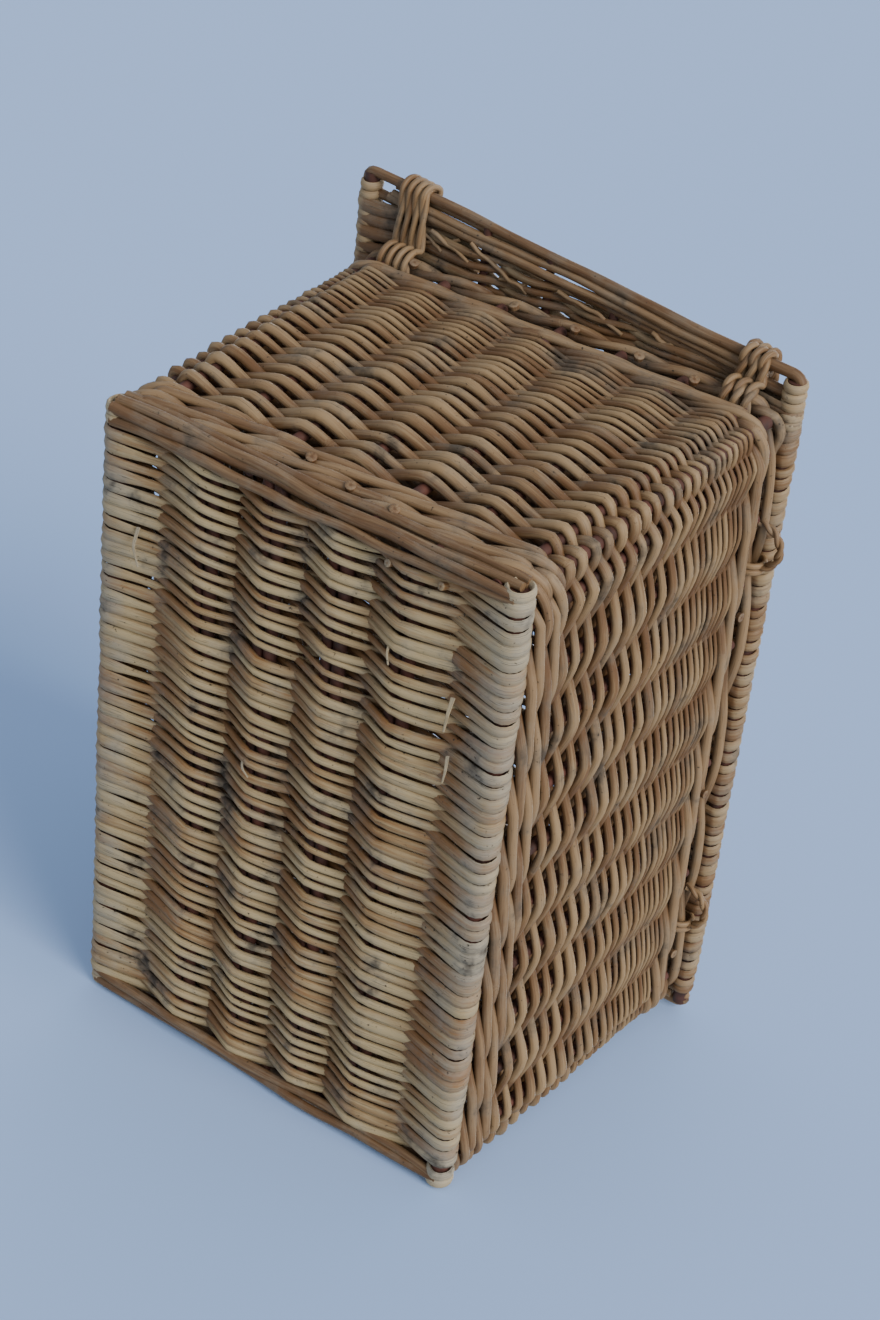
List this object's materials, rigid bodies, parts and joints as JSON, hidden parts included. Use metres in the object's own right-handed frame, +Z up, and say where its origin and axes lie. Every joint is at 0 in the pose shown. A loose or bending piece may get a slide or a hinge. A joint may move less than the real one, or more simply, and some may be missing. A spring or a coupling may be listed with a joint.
{
  "type": "laundry basket woven",
  "caption": "Rectangular lidded hamper of woven willow with flared walls, rounded corners, a flat stick-and-strand base and a lid bound to one short end.",
  "frame": {"origin": "centre of the underside of the base, in the plane it rests on", "axes": "+Z up from the base to the lid, +Y towards the short end that the lid is hinged at, +X to the left as seen from the hinge end looking at the front"},
  "size_m": [0.3399, 0.518, 0.2768],
  "materials": {
    "willow_base": "matt weathered buff willow, close randing",
    "willow_sticks": "matt brown willow sticks with bark left on in places",
    "willow_siding": "matt buff-brown willow, close randing",
    "willow_rods": "satin brown willow rods",
    "willow_lid": "matt weathered buff willow, close randing",
    "willow_binding": "satin twisted willow skeins"
  },
  "bodies": {
    "basket": {"base_weave": "willow_base", "base_outer_sticks": "willow_sticks", "base_inner_sticks": "willow_sticks", "corner_stakes": "willow_sticks", "stakes_hinge_end": "willow_sticks", "stakes_front_end": "willow_sticks", "stakes_left": "willow_sticks", "stakes_right": "willow_sticks", "siding_hinge_end": "willow_siding", "siding_front_end": "willow_siding", "siding_left": "willow_siding", "siding_right": "willow_siding", "upsett_wale": "willow_rods", "top_wale": "willow_rods", "hinge_rail": "willow_rods", "border_front_end": "willow_rods", "border_left": "willow_rods", "border_right": "willow_rods", "rim_eye_rear": "willow_binding", "rim_eye_front": "willow_binding"},
    "lid": {"lid_outer_sticks": "willow_sticks", "lid_inner_sticks": "willow_sticks", "lid_weave": "willow_lid", "lid_band_hinge_end": "willow_lid", "lid_band_front_end": "willow_lid", "hinge_binding_left": "willow_binding", "hinge_binding_right": "willow_binding"}
  },
  "joints": [
    {"name": "lid_hinge", "type": "hinge", "parent": "basket", "child": "lid", "pos_m": [0, 0.227, 0.256], "axis": [-1, 0, 0], "range_deg": [0, 90]}
  ]
}
